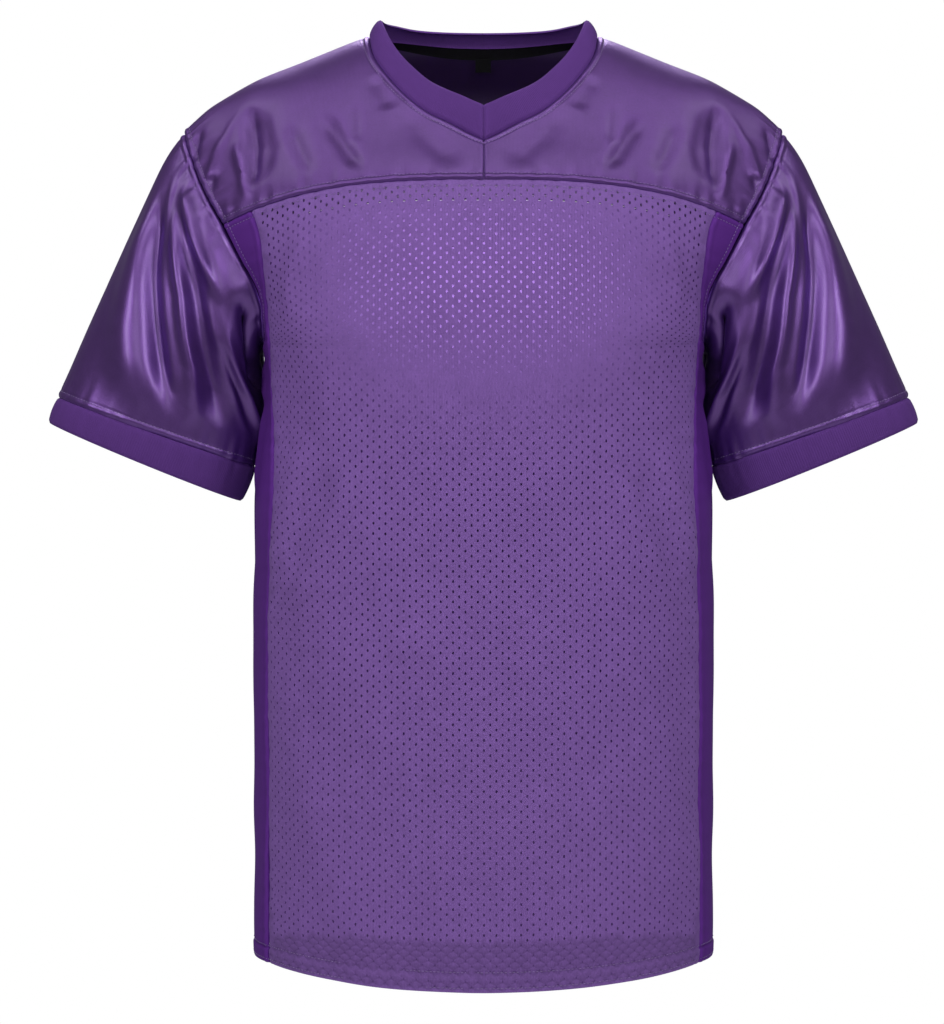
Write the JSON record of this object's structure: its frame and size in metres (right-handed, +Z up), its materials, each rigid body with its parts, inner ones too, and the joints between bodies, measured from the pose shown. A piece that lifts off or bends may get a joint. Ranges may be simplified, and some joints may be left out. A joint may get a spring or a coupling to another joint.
{
  "type": "football jersey",
  "caption": "Loose short-sleeved V-neck football jersey with a satin shoulder yoke and sleeves, perforated mesh front and back, smooth side panels and rib collar and cuffs.",
  "frame": {"origin": "middle of the neck base, level with the high points of the shoulders, where the neck or a hanger would hold it", "axes": "+Z up, -Y out of the chest, +X towards the wearer's left sleeve"},
  "size_m": [0.7128, 0.2757, 0.7815],
  "materials": {
    "satin": "glossy purple satin",
    "mesh": "perforated purple mesh with a soft sheen",
    "side_cloth": "smooth dark purple stretch knit",
    "rib": "matt purple fine rib",
    "tape": "matt near-black tape"
  },
  "bodies": {
    "root": {"yoke": "satin", "front_mesh_panel": "mesh", "back_mesh_panel": "mesh", "side_panel_left": "side_cloth", "side_panel_right": "side_cloth", "sleeve_left": "satin", "sleeve_right": "satin", "cuff_left": "rib", "cuff_right": "rib", "collar": "rib", "neck_tape": "tape", "neck_label": "tape"}
  },
  "joints": []
}
